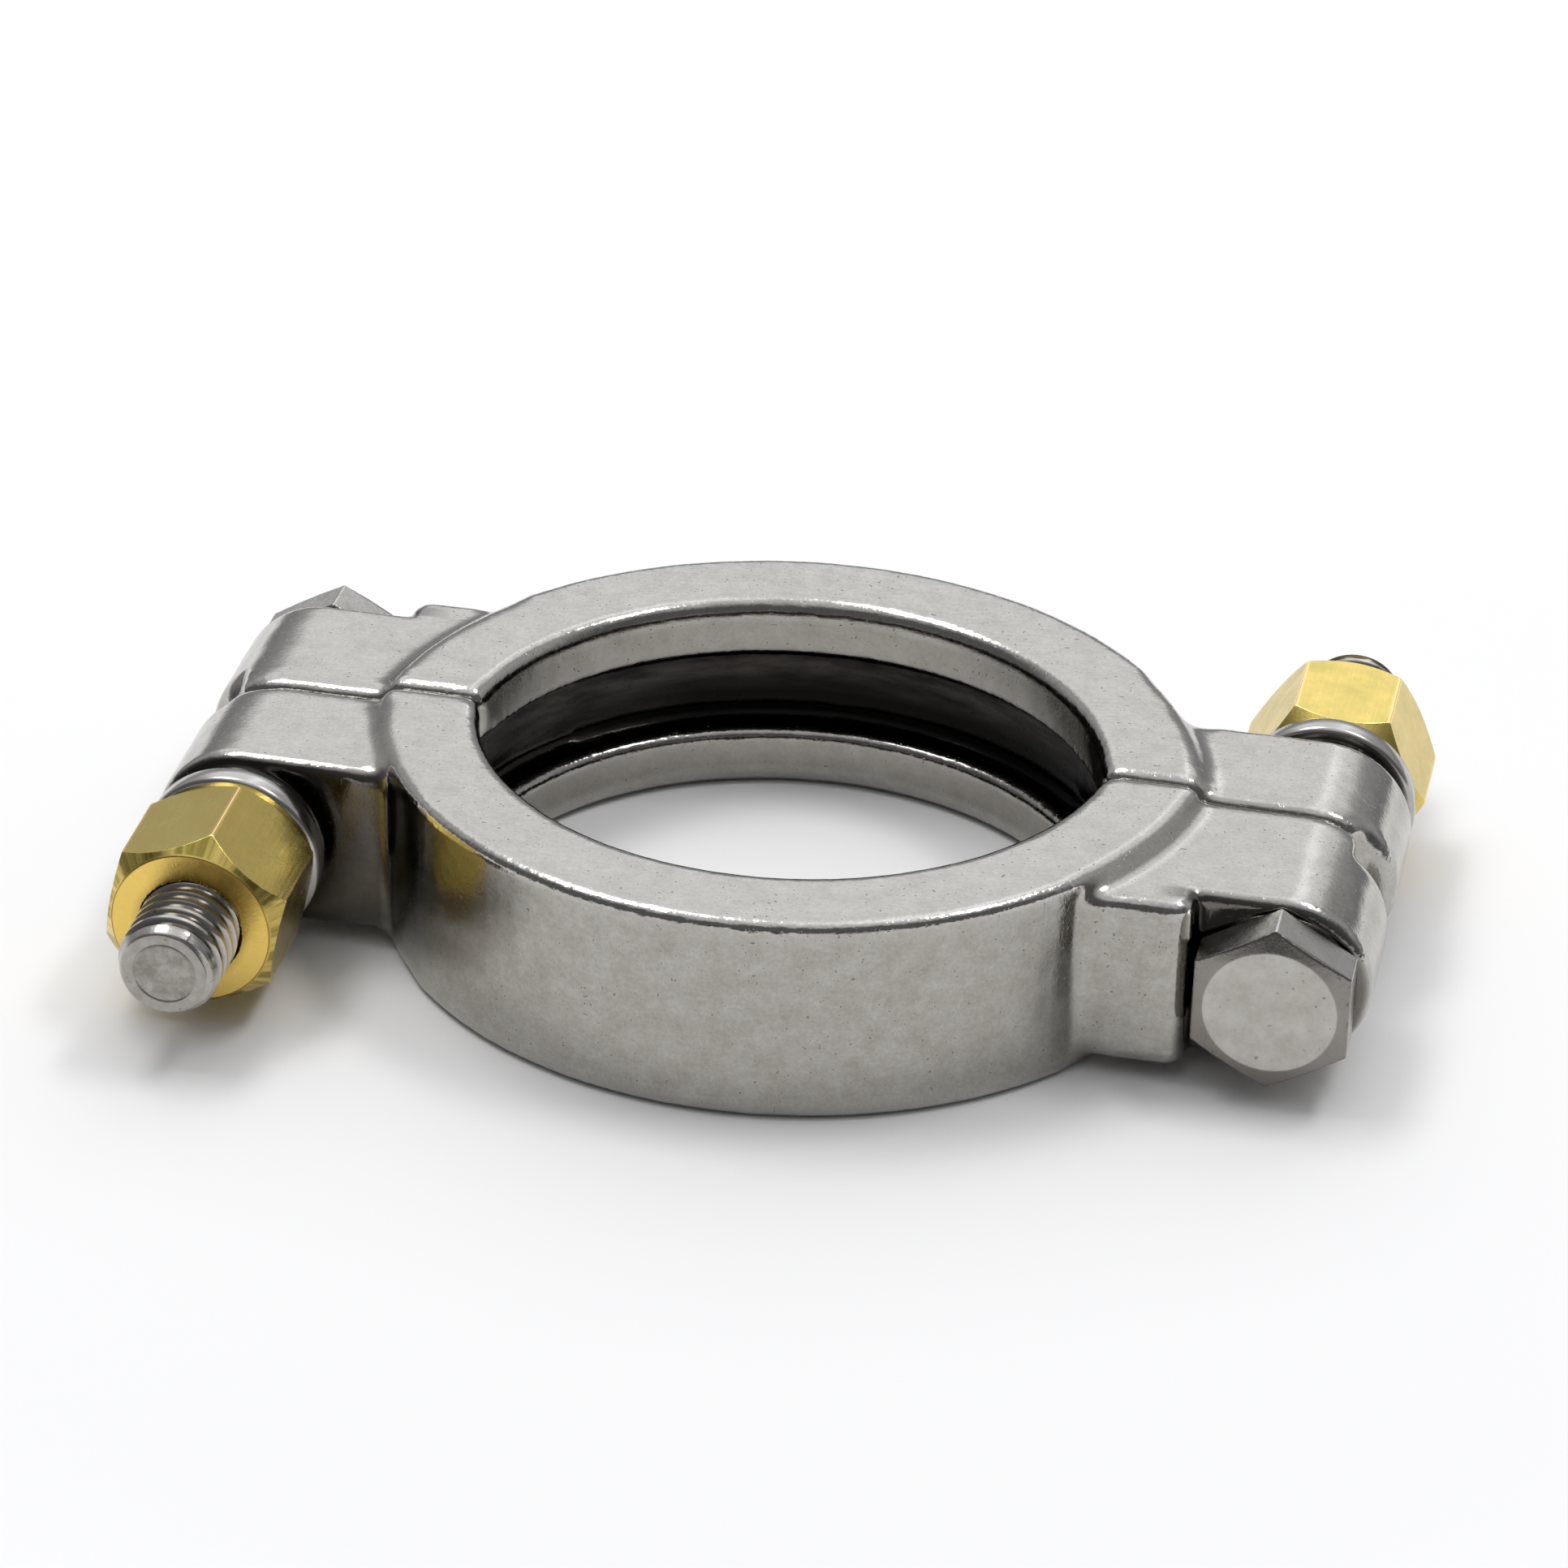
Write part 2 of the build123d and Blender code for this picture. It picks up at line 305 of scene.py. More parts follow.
def over(tree, share, below, above, blend="MIX"):
    """One colour laid over another."""
    mixed = shade(tree, "Mix", {"Factor": share, "A": below, "B": above}, data_type="RGBA", blend_type=blend)
    return mixed.outputs["Result"]


mottled = over(tree, 1.0, patchy, fine, "MULTIPLY")
spotted = over(tree, reckon(tree, "MULTIPLY", marks.outputs["Pits"], 0.75), mottled, (0.16, 0.145, 0.125, 1))
# The attribute gives worn edges at convex places and painted shade in the hollows.
edge_wear_and_hollow_shade = shade(tree, "Attribute", attribute_name="edge_wear_and_hollow_shade").outputs["Fac"]
bright = between(tree, edge_wear_and_hollow_shade, 0.58, 0.95)
polished = over(tree, bright, spotted, (0.62, 0.61, 0.58, 1))
# Painted shade: the hollows of the casting are darkened.
shaded_hollows = over(tree, between(tree, edge_wear_and_hollow_shade, 0.42, 0.1), polished, (0.22, 0.205, 0.185, 1))
# Painted shade: the bore's upright walls are darkened.
bore = reckon(tree, "MULTIPLY", between(tree, ring_r, 0.0316, 0.0312), upright)
shaded_bore = over(tree, reckon(tree, "MULTIPLY", bore, 0.45), shaded_hollows, (0.22, 0.205, 0.18, 1))
groove = reckon(tree, "MULTIPLY", between(tree, ring_r, 0.0306, 0.0312),
                between(tree, ring_r, 0.0362, 0.0352))
groove = reckon(tree, "MULTIPLY", groove, between(tree, from_middle, 0.0060, 0.0050))
level_place = shade(tree, "VectorMath", {0: place, 1: (1.0, 1.0, 5.0)}, operation="MULTIPLY")
stains = shade(tree, "TexNoise", {"Vector": level_place.outputs["Vector"], "Scale": 150.0, "Detail": 4.0,
                                  "Roughness": 0.6})
# The groove is painted nearly black: painted shade, mottled like an as-cast surface.
groove_cast_and_shade = tint(tree, between(tree, stains.outputs["Fac"], 0.36, 0.68), (0.014, 0.012, 0.011, 1),
               (0.052, 0.047, 0.043, 1))
# Painted shade: the groove's lower part is black, less so towards its left end.
left_end = between(tree, apart.outputs["X"], -0.014, -0.027)
low_part = between(tree, apart.outputs["Z"], 0.0122, 0.0090)
off_left = reckon(tree, "SUBTRACT", 1.0, reckon(tree, "MULTIPLY", left_end, 0.75))
low_part = reckon(tree, "MULTIPLY", low_part, off_left)
groove_bottom_shade = over(tree, low_part, groove_cast_and_shade, (0.003, 0.003, 0.003, 1))
grooved = over(tree, groove, shaded_bore, groove_bottom_shade)
from_bolt = shade(tree, "CombineXYZ", {"X": reckon(tree, "SUBTRACT", out_x, bolt_x),
                                       "Y": reckon(tree, "SUBTRACT", apart.outputs["Z"], ring_middle)})
bolt_reach = shade(tree, "VectorMath", {0: from_bolt.outputs[0]}, operation="LENGTH").outputs["Value"]
corner_sign = reckon(tree, "MULTIPLY", apart.outputs["X"], apart.outputs["Y"])
nut_side = reckon(tree, "GREATER_THAN", corner_sign, 0.0)
seat_face = reckon(tree, "MULTIPLY", nut_side, between(tree, out_y, 0.0139, 0.0144))
off_ring = between(tree, ring_r, 0.0396, 0.0404)
seat_face = reckon(tree, "MULTIPLY", seat_face, off_ring)
seat = reckon(tree, "MULTIPLY", seat_face, between(tree, bolt_reach, 0.0125, 0.0085))
head_side = reckon(tree, "LESS_THAN", corner_sign, 0.0)
recess = reckon(tree, "MULTIPLY", head_side, between(tree, bolt_reach, 0.0145, 0.0120))
recess = reckon(tree, "MULTIPLY", recess, between(tree, out_y, 0.0164, 0.0169))
recess = reckon(tree, "MULTIPLY", recess, between(tree, out_y, 0.0188, 0.0182))
# Painted shade: upright faces are made a little darker.
corner_wear_and_wall_shade = over(tree, reckon(tree, "MULTIPLY", upright, 0.08), grooved, (0.05, 0.045, 0.04, 1))
# Painted shade: the lug face round the bolt head, where the head and stop shade it.
shaded_recess = over(tree, reckon(tree, "MULTIPLY", recess, 0.8), corner_wear_and_wall_shade, (0.085, 0.075, 0.067, 1))
# Painted shade: the lug face on the nut's side is darkened.
shaded_nut_face = over(tree, reckon(tree, "MULTIPLY", seat_face, 0.8), shaded_recess, (0.09, 0.08, 0.068, 1))
# Painted shade: nearly black round the bolt where the washer sits.
shaded_seat = over(tree, reckon(tree, "MULTIPLY", seat, 0.8), shaded_nut_face, (0.03, 0.027, 0.024, 1))
# Painted shade: a dark line along the split between the halves.
at_split = between(tree, out_y, 0.00055, 0.0002)
colour = over(tree, reckon(tree, "MULTIPLY", at_split, 0.85), shaded_seat, (0.05, 0.036, 0.027, 1))
tree.links.new(colour, skin.inputs["Base Color"])
satin = shade(tree, "MapRange", {"Value": marks.outputs["Patches"], "To Min": 0.17, "To Max": 0.10})
worn = shade(tree, "Mix", {"Factor": bright, "A": satin.outputs["Result"], "B": 0.09})
tree.links.new(worn.outputs["Result"], skin.inputs["Roughness"])
relief = reckon(tree, "SUBTRACT", fine_mask, reckon(tree, "MULTIPLY", marks.outputs["Pits"], 0.8))
knocks = shade(tree, "TexNoise", {"Vector": place, "Scale": 1500.0, "Detail": 1.0, "Roughness": 0.5})
knocked = reckon(tree, "MULTIPLY", knocks.outputs["Fac"], between(tree, edge_wear_and_hollow_shade, 0.55, 0.72))
knocked = reckon(tree, "MULTIPLY", knocked, 3.0)
bump = shade(tree, "Bump", {"Height": reckon(tree, "ADD", relief, knocked), "Strength": 0.5,
                            "Distance": 0.00004})
tree.links.new(bump.outputs["Normal"], skin.inputs["Normal"])


def pick(piece):
    """Makes one piece the selected and active one."""
    bpy.ops.object.select_all(action="DESELECT")
    piece.select_set(True)
    bpy.context.view_layer.objects.active = piece


def finish_with(piece, kind, **settings):
    """Adds a modifier with its settings and applies it."""
    pick(piece)
    step = piece.modifiers.new(kind.lower(), kind)
    for name, value in settings.items():
        setattr(step, name, value)
    bpy.ops.object.modifier_apply(modifier=step.name)


def show_edge_wear_and_hollow_shade(piece, blur_steps):
    """Keeps convex and hollow places in a colour attribute, which the metals read for worn edges and painted
    shade.
    """
    pick(piece)
    bpy.ops.geometry.color_attribute_add(name="edge_wear_and_hollow_shade", domain="CORNER", data_type="BYTE_COLOR",
                                         color=(1, 1, 1, 1))
    bpy.ops.paint.vertex_color_dirt(blur_strength=1.0, blur_iterations=blur_steps, clean_angle=radians(99),
                                    dirt_angle=radians(81), normalize=False)


waves = bpy.data.textures.new("cast_waves", "CLOUDS")
waves.noise_scale = cast_wave_size
waves.noise_depth = 2
dents = bpy.data.textures.new("edge_dents", "CLOUDS")
dents.noise_scale = cast_dent_size
dents.noise_depth = 1


def casting(node, name, body, side, split_steps, split_reach):
    """A casting over its solid. Its half lies towards side along Y, which is -1 or 1."""
    piece = bpy.data.objects.new(name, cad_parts[node].data.copy())
    bpy.context.scene.collection.objects.link(piece)
    pick(piece)
    bpy.ops.object.mode_set(mode="EDIT")
    bpy.ops.mesh.select_all(action="SELECT")
    bpy.ops.mesh.remove_doubles(threshold=1e-6)
    bpy.ops.object.mode_set(mode="OBJECT")
    finish_with(piece, "REMESH", mode="VOXEL", voxel_size=cast_voxel)
    finish_with(piece, "SMOOTH", factor=0.5, iterations=cast_smooth_steps)
    roots = piece.vertex_groups.new(name="roots")
    seams = piece.vertex_groups.new(name="seams")
    splits = piece.vertex_groups.new(name="splits")
    edges = piece.vertex_groups.new(name="edges")
    for vertex in piece.data.vertices:
        x, y, z = vertex.co
        from_axis = hypot(x, y + side * half_centre_offset)
        past_lug = max(0.0, abs(y) - lug_t - root_past_lug)
        share = 1 - hypot(from_axis - ring_outer_r - root_out, past_lug) / cast_root_reach
        if abs(x) < hole_side_x:
            from_corner = hypot(from_axis - groove_floor_r, abs(z - ring_middle) - groove_floor_half)
            share = 1 - from_corner / cast_groove_reach
        hollow = share > 0 and abs(y) > split_clear
        if hollow:
            roots.add([vertex.index], min(1.0, cast_root_gain * share), "REPLACE")
        share = 1 - abs(from_axis - ring_outer_r - root_out) / cast_seam_reach
        if x * side > hole_side_x and share > 0 and cast_seam_from < abs(y) < cast_seam_to:
            share = min(cast_root_gain * share, 500 * (abs(y) - cast_seam_from),
                        400 * (cast_seam_to - abs(y)))
            seams.add([vertex.index], min(1.0, share), "REPLACE")
        share = 1.4 - abs(y) / split_reach
        if share > 0:
            splits.add([vertex.index], min(1.0, 2 * share), "REPLACE")
        sharp = max(min(1.0, (round_end_x - abs(x)) * 800), min(1.0, 4 * abs(vertex.normal.y) - 0.8))
        if not hollow and sharp > 0 and 0.12 < abs(vertex.normal.z) < 0.97:
            edges.add([vertex.index], sharp, "REPLACE")
    finish_with(piece, "SMOOTH", factor=0.5, iterations=cast_root_steps, vertex_group="roots")
    finish_with(piece, "SMOOTH", factor=0.5, iterations=cast_seam_steps, vertex_group="seams")
    finish_with(piece, "SMOOTH", factor=0.5, iterations=split_steps, vertex_group="splits")
    finish_with(piece, "DISPLACE", texture=dents, texture_coords="LOCAL", strength=cast_dent_depth,
                mid_level=1.0, vertex_group="edges")
    finish_with(piece, "DISPLACE", texture=waves, texture_coords="LOCAL", strength=cast_wave_height,
                mid_level=1.0)
    bpy.ops.object.shade_smooth()
    show_edge_wear_and_hollow_shade(piece, 3)
    piece.data.materials.clear()
    piece.data.materials.append(steel)
    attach(piece, body)
    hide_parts(node)
    return piece


casting("front_half", "front_casting", "front", -1, cast_split_steps, cast_split_reach)
casting("rear_half", "rear_casting", "rear", 1, rear_split_steps, rear_split_reach)

# Bolts: 3/8-16 stainless hexagon bolts, forged and turned, with a rolled thread. Each is
# modelled upright, its tip up, and then laid on its axis, pointing to the rear at the right.
bolt_z = ring_middle
bolt_r = 0.0047625
head_af = 0.0142875
head_seat = -0.017
head_under = -0.01745
head_top = -0.0222
head_corner = -0.0216
head_face_r = 0.0061
head_seat_r = 0.0069
head_voxel = 0.00012
tip = 0.04015
thread_start = 0.01475
thread_pitch = 0.0015875
thread_depth = 0.00085
thread_steps = 16
thread_phase = 1.14
crest_half = 0.16
flank_run = 0.56
blank_r = 0.0052
round_steps = 96

# Half section of a bolt's tip: distance from its axis, and depth below its end
tip_section = [(blank_r, 0.0021), (0.0047, 0.00115), (0.00422, 0.00026), (0.00412, 0.0001),
               (0.00402, 0.00003), (0.0039, 0), (0.0031, 0.00003), (0.00298, 0.00006),
               (0.00291, 0.00012), (0.00284, 0.00009), (0.0027, 0.00006), (0, 0.00002)]


def pencil(name, points):
    """A line drawn through (distance from the axis, height) points, ready to be turned."""
    bpy.ops.object.select_all(action="DESELECT")
    bpy.ops.mesh.primitive_plane_add(size=0.001)
    line = bpy.context.object
    line.name = name
    bpy.ops.object.mode_set(mode="EDIT")
    bpy.ops.mesh.select_all(action="SELECT")
    bpy.ops.mesh.merge(type="CENTER")
    at = Vector((0, 0, 0))
    for order, (out, height) in enumerate(points):
        move = Vector((out, 0, height)) - at
        if order == 0:
            bpy.ops.transform.translate(value=move)
        else:
            bpy.ops.mesh.extrude_vertices_move(TRANSFORM_OT_translate={"value": move})
        at += move
    bpy.ops.object.mode_set(mode="OBJECT")
    return line


def turned(name, points, steps=round_steps):
    """A solid of revolution about the Z axis, from the outline of its half section."""
    solid = pencil(name, points)
    bpy.ops.object.mode_set(mode="EDIT")
    bpy.ops.mesh.select_all(action="SELECT")
    bpy.ops.mesh.spin(steps=steps, angle=tau, center=(0, 0, 0), axis=(0, 0, 1))
    bpy.ops.mesh.select_all(action="SELECT")
    bpy.ops.mesh.remove_doubles(threshold=1e-6)
    bpy.ops.mesh.normals_make_consistent(inside=False)
    bpy.ops.object.mode_set(mode="OBJECT")
    return solid


def hexagon(name, across_flats, low, high, corner):
    """An upright hexagonal bar, with a corner at an angle from +X towards +Y."""
    bpy.ops.object.select_all(action="DESELECT")
    bpy.ops.mesh.primitive_cylinder_add(vertices=6, radius=across_flats / sqrt(3), depth=high - low,
                                        location=(0, 0, (low + high) / 2),
                                        rotation=(0, 0, corner - radians(90)))
    bar = bpy.context.object
    bar.name = name
    bpy.ops.object.transform_apply(location=True, rotation=True, scale=True)
    return bar


def cut(piece, other, operation):
    """Cuts a piece with another solid, or keeps what they share, and puts the other away."""
    finish_with(piece, "BOOLEAN", operation=operation, solver="EXACT", object=other)
    bpy.data.objects.remove(other)


def lay(piece, side):
    """Lays an upright piece on its bolt's axis, its top to the rear (right) or the front (left)."""
    pick(piece)
    piece.location = ((bolt_x if side == "right" else -bolt_x), 0, bolt_z)
    piece.rotation_euler = (radians(-90), 0, 0 if side == "right" else radians(180))
    bpy.ops.object.transform_apply(location=True, rotation=True, scale=True)


def axis_place(tree):
    """Places about a bolt's axis: across, along towards its tip, up, distance from the axis, and turn."""
    apart = shade(tree, "SeparateXYZ", {0: shade(tree, "TexCoord").outputs["Object"]})
    across = reckon(tree, "SUBTRACT", reckon(tree, "ABSOLUTE", apart.outputs["X"]), bolt_x)
    rise = reckon(tree, "SUBTRACT", apart.outputs["Z"], bolt_z)
    spoke = shade(tree, "CombineXYZ", {"X": across, "Y": rise})
    radius = shade(tree, "VectorMath", {0: spoke.outputs[0]}, operation="LENGTH").outputs["Value"]
    turn = reckon(tree, "ARCTAN2", rise, across)
    side = reckon(tree, "SIGN", apart.outputs["X"])
    along = reckon(tree, "MULTIPLY", apart.outputs["Y"], side)
    return across, along, rise, radius, turn


bolt_steel, tree, skin = new_metal("bolt_steel")
place = shade(tree, "TexCoord").outputs["Object"]
marks = marked(tree, place, 420.0, 3600.0, 1400.0)
across, along, rise, radius, turn = axis_place(tree)
patchy = tint(tree, marks.outputs["Patches"], (0.40, 0.38, 0.345, 1), (0.49, 0.475, 0.445, 1))
root = between(tree, radius, bolt_r - 0.0005, bolt_r - 0.00084)
before_tip = between(tree, along, tip - 0.0007, tip - 0.0009)
threaded = reckon(tree, "MULTIPLY", before_tip, reckon(tree, "GREATER_THAN", along, thread_start))
rooted = reckon(tree, "MULTIPLY", root, threaded)
on_disc = reckon(tree, "MAXIMUM", between(tree, radius, 0.0031, 0.0028),
                 reckon(tree, "MULTIPLY", between(tree, radius, 0.0041, 0.0039), 0.65))
tip_face = reckon(tree, "MULTIPLY", between(tree, along, tip - 0.0004, tip - 0.0003), on_disc)
scuffs = shade(tree, "TexNoise", {"Vector": place, "Scale": 620.0, "Detail": 5.0, "Roughness": 0.7})
scuffed = tint(tree, between(tree, scuffs.outputs["Fac"], 0.38, 0.62), (0.25, 0.235, 0.21, 1),
               (0.40, 0.38, 0.35, 1))
tipped = over(tree, tip_face, patchy, scuffed)
head_end = between(tree, along, head_corner + 0.0001, head_corner)
off_face = between(tree, radius, head_face_r - 0.00005, head_face_r + 0.0001)
off_face = reckon(tree, "MULTIPLY", head_end, off_face)
# Painted dark reflection on the head's chamfer, outside the face circle.
chamfer_painted_reflection = over(tree, reckon(tree, "MULTIPLY", off_face, 0.7), tipped, (0.17, 0.155, 0.14, 1))
# Painted shade on the thread's flanks just below the crests.
on_flank = reckon(tree, "MULTIPLY", threaded, between(tree, radius, bolt_r - 0.0001, bolt_r - 0.0004))
shaded_flank = over(tree, reckon(tree, "MULTIPLY", on_flank, 0.5), chamfer_painted_reflection, (0.13, 0.10, 0.085, 1))
# Painted shade: the thread's roots are dark brown.
shaded_roots = over(tree, rooted, shaded_flank, (0.085, 0.06, 0.045, 1))
spotted = tint(tree, marks.outputs["Pits"], (1, 1, 1, 1), (0.6, 0.58, 0.55, 1))
tree.links.new(over(tree, 1.0, shaded_roots, spotted, "MULTIPLY"), skin.inputs["Base Color"])
satin = shade(tree, "MapRange", {"Value": marks.outputs["Patches"], "To Min": 0.30, "To Max": 0.20})
rolled = shade(tree, "Mix", {"Factor": threaded, "A": satin.outputs["Result"], "B": 0.17})
dulled = shade(tree, "Mix", {"Factor": tip_face, "A": rolled.outputs["Result"], "B": 0.38})
tree.links.new(dulled.outputs["Result"], skin.inputs["Roughness"])
relief = reckon(tree, "ADD", marks.outputs["Grain"], marks.outputs["Patches"])
rough = reckon(tree, "MULTIPLY", relief, reckon(tree, "SUBTRACT", 1.0, threaded))
bump = shade(tree, "Bump", {"Height": rough, "Strength": 0.4, "Distance": 0.00003})
tree.links.new(bump.outputs["Normal"], skin.inputs["Normal"])


def bolt(node, name, body, side):
    """A bolt: its head, its plain shank and its thread."""
    corner_r = head_af / sqrt(3)
    slope = (head_corner - head_top) / (corner_r - head_face_r)
    rim_r = corner_r + 0.0008
    rim_z = head_top + (rim_r - head_face_r) * slope
    head = turned(name, [(0, head_top), (head_face_r, head_top), (rim_r, rim_z), (rim_r, head_under),
                         (head_seat_r, head_under), (head_seat_r, head_seat), (0, head_seat)])
    cut(head, hexagon("hexagon", head_af, head_top - 0.001, head_seat + 0.001, radians(90)), "INTERSECT")
    finish_with(head, "REMESH", mode="VOXEL", voxel_size=head_voxel)
    finish_with(head, "SMOOTH", factor=0.5, iterations=2)
    bpy.ops.object.shade_smooth()

    flank = []
    for step in range(thread_steps + 1):
        share = step / thread_steps
        up_share = min(1.0, max(0.0, (abs(2 * share - 1) - crest_half) / flank_run))
        soft_share = 0.5 * up_share + 0.5 * up_share * up_share * (3 - 2 * up_share)
        flank.append((bolt_r - thread_depth * (1 - soft_share),
                      thread_start + (share - thread_phase) * thread_pitch))
    thread = pencil("thread", flank)
    turns = int((tip - thread_start) / thread_pitch) + 3
    finish_with(thread, "SCREW", axis="Z", angle=tau, screw_offset=thread_pitch, iterations=turns,
                steps=64, render_steps=64)
    bpy.ops.object.mode_set(mode="EDIT")
    bpy.ops.mesh.select_all(action="SELECT")
    bpy.ops.mesh.remove_doubles(threshold=2e-6)
    bpy.ops.mesh.bisect(plane_co=(0, 0, thread_start), plane_no=(0, 0, 1), use_fill=True, clear_inner=True)
    bpy.ops.mesh.select_all(action="SELECT")
    bpy.ops.mesh.bisect(plane_co=(0, 0, tip + 0.0003), plane_no=(0, 0, 1), use_fill=True, clear_outer=True)
    bpy.ops.mesh.select_all(action="SELECT")
    bpy.ops.mesh.normals_make_consistent(inside=False)
    bpy.ops.object.mode_set(mode="OBJECT")
    blank = turned("blank", [(0, thread_start - 0.0005), (blank_r, thread_start - 0.0005)]
                   + [(out, tip - depth) for out, depth in tip_section])
    cut(thread, blank, "INTERSECT")
    bpy.ops.object.shade_smooth_by_angle(angle=radians(38))
    shank = turned("shank", [(0, head_seat - 0.0003), (bolt_r, head_seat - 0.0003),
                             (bolt_r, thread_start - 0.0006), (bolt_r - thread_depth, thread_start + 0.0002),
                             (0, thread_start + 0.0002)])
    bpy.ops.object.shade_smooth_by_angle(angle=radians(30))
    bpy.ops.object.select_all(action="DESELECT")
    for part in (head, thread, shank):
        part.select_set(True)
    bpy.context.view_layer.objects.active = head
    bpy.ops.object.join()
    head.data.validate()
    lay(head, side)
    head.data.materials.clear()
    head.data.materials.append(bolt_steel)
    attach(head, body)
    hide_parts(node)
    return head


bolt("right_bolt", "rear_pointing_bolt", "front", "right")
bolt("left_bolt", "front_pointing_bolt", "rear", "left")

# Split lock washers: bright spring steel of square section with rounded corners, cut through
# on a slant. They lie flat under the nuts.
washer_low = 0.0164
washer_high = 0.01884
washer_r = 0.0085
washer_bore_r = 0.00496
washer_edge = 0.00045
washer_steps = 128
slit_w = 0.0005
slit_tilt = radians(12)

washer_steel, tree, skin = new_metal("washer_steel")
across, along, rise, radius, turn = axis_place(tree)
band = shade(tree, "CombineXYZ", {"X": radius, "Y": along})
lines = shade(tree, "TexNoise", {"Vector": band.outputs[0], "Scale": 5200.0, "Detail": 2.0})
patches = shade(tree, "TexNoise", {"Vector": shade(tree, "TexCoord").outputs["Object"], "Scale": 500.0,
                                   "Detail": 3.0})
colour = tint(tree, patches.outputs["Fac"], (0.37, 0.355, 0.33, 1), (0.50, 0.49, 0.47, 1))
tree.links.new(colour, skin.inputs["Base Color"])
satin = shade(tree, "MapRange", {"Value": patches.outputs["Fac"], "From Min": 0.35, "From Max": 0.65,
                                 "To Min": 0.26, "To Max": 0.16})
tree.links.new(satin.outputs["Result"], skin.inputs["Roughness"])
bump = shade(tree, "Bump", {"Height": lines.outputs["Fac"], "Strength": 0.4, "Distance": 0.00002})
tree.links.new(bump.outputs["Normal"], skin.inputs["Normal"])


def washer(node, name, body, side, slit_angle):
    """A split lock washer, its slit at an angle about the bolt from its outward side downwards."""
    corner = washer_edge * (1 - sqrt(0.5))
    ring = turned(name, [(washer_bore_r, washer_low + washer_edge),
                         (washer_bore_r + corner, washer_low + corner),
                         (washer_bore_r + washer_edge, washer_low), (washer_r - washer_edge, washer_low),
                         (washer_r - corner, washer_low + corner), (washer_r, washer_low + washer_edge),
                         (washer_r, washer_high - washer_edge), (washer_r - corner, washer_high - corner),
                         (washer_r - washer_edge, washer_high), (washer_bore_r + washer_edge, washer_high),
                         (washer_bore_r + corner, washer_high - corner),
                         (washer_bore_r, washer_high - washer_edge),
                         (washer_bore_r, washer_low + washer_edge)], washer_steps)
    bpy.ops.object.select_all(action="DESELECT")
    bpy.ops.mesh.primitive_cube_add(size=1, scale=(washer_r, slit_w, 4 * (washer_high - washer_low)))
    blade = bpy.context.object
    middle = (washer_bore_r + washer_r) / 2
    blade_size = (washer_r, slit_w, 4 * (washer_high - washer_low), 1)
    blade.matrix_world = (Matrix.Rotation(slit_angle, 4, "Z")
                          @ Matrix.Translation((middle, 0, (washer_low + washer_high) / 2))
                          @ Matrix.Rotation(slit_tilt, 4, "X")
                          @ Matrix.Diagonal(blade_size))
    cut(ring, blade, "DIFFERENCE")
    bpy.ops.object.shade_smooth_by_angle(angle=radians(50))
    lay(ring, side)
    ring.data.materials.clear()
    ring.data.materials.append(washer_steel)
    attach(ring, body)
    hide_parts(node)
    return ring


washer("right_lock_washer", "rear_spring_washer", "rear", "right", radians(-3))
washer("left_lock_washer", "front_spring_washer", "front", "left", radians(140))

# Nuts: thick brass hexagon nuts, sawn from drawn bar, faced and chamfered at both ends. The
# flats keep the bar's drawn lines under a dull tarnish, and the faces have fine radial lines.
nut_af = 0.015875
nut_low = 0.0189
nut_high = 0.03185
nut_face_r = 0.00747
nut_chamfer = 0.00198
nut_bore_r = 0.00482
nut_edge = 0.00009
nut_sink = 0.0001
nut_slope = nut_chamfer / (nut_af / sqrt(3) - nut_face_r)

brass, tree, skin = new_metal("drawn_brass")
place = shade(tree, "TexCoord").outputs["Object"]
marks = marked(tree, place, 300.0, 2400.0, 1300.0)
across, along, rise, radius, turn = axis_place(tree)
drawn_place = shade(tree, "CombineXYZ", {"X": across, "Y": reckon(tree, "MULTIPLY", along, 0.06), "Z": rise})
drawn = shade(tree, "TexNoise", {"Vector": drawn_place.outputs[0], "Scale": 2600.0, "Detail": 3.0,
                                 "Roughness": 0.65})
spoke_place = shade(tree, "CombineXYZ", {"X": turn, "Y": reckon(tree, "MULTIPLY", radius, 6.0)})
spokes = shade(tree, "TexNoise", {"Vector": spoke_place.outputs[0], "Scale": 60.0, "Detail": 3.0,
                                  "Roughness": 0.7})
far_end = between(tree, along, nut_high - 0.0001, nut_high - 0.00004)
faced = between(tree, radius, nut_face_r + 0.0001, nut_face_r)
face = reckon(tree, "MULTIPLY", far_end, faced)
lined = shade(tree, "Mix", {"Factor": face, "A": drawn.outputs["Fac"], "B": spokes.outputs["Fac"]})
clean = tint(tree, lined.outputs["Result"], (0.72, 0.50, 0.115, 1), (0.90, 0.65, 0.18, 1))
flats = reckon(tree, "SUBTRACT", 1.0, face)
patched = reckon(tree, "MULTIPLY", marks.outputs["Patches"], flats)
olive = shade(tree, "MapRange", {"Value": patched, "From Min": 0.0, "From Max": 1.0,
                                 "To Min": 0.45, "To Max": 1.0})
dulled = reckon(tree, "MULTIPLY", olive.outputs["Result"], flats)
tarnished = over(tree, dulled, clean, (0.585, 0.475, 0.135, 1))
off_rim = reckon(tree, "ABSOLUTE", reckon(tree, "SUBTRACT", radius, nut_face_r))
rimmed = reckon(tree, "MULTIPLY", between(tree, off_rim, 0.00011, 0.00004), far_end)
near_bore = shade(tree, "MapRange", {"Value": radius, "From Min": nut_bore_r + 0.0009, "From Max": nut_bore_r,
                                     "To Max": 0.7})
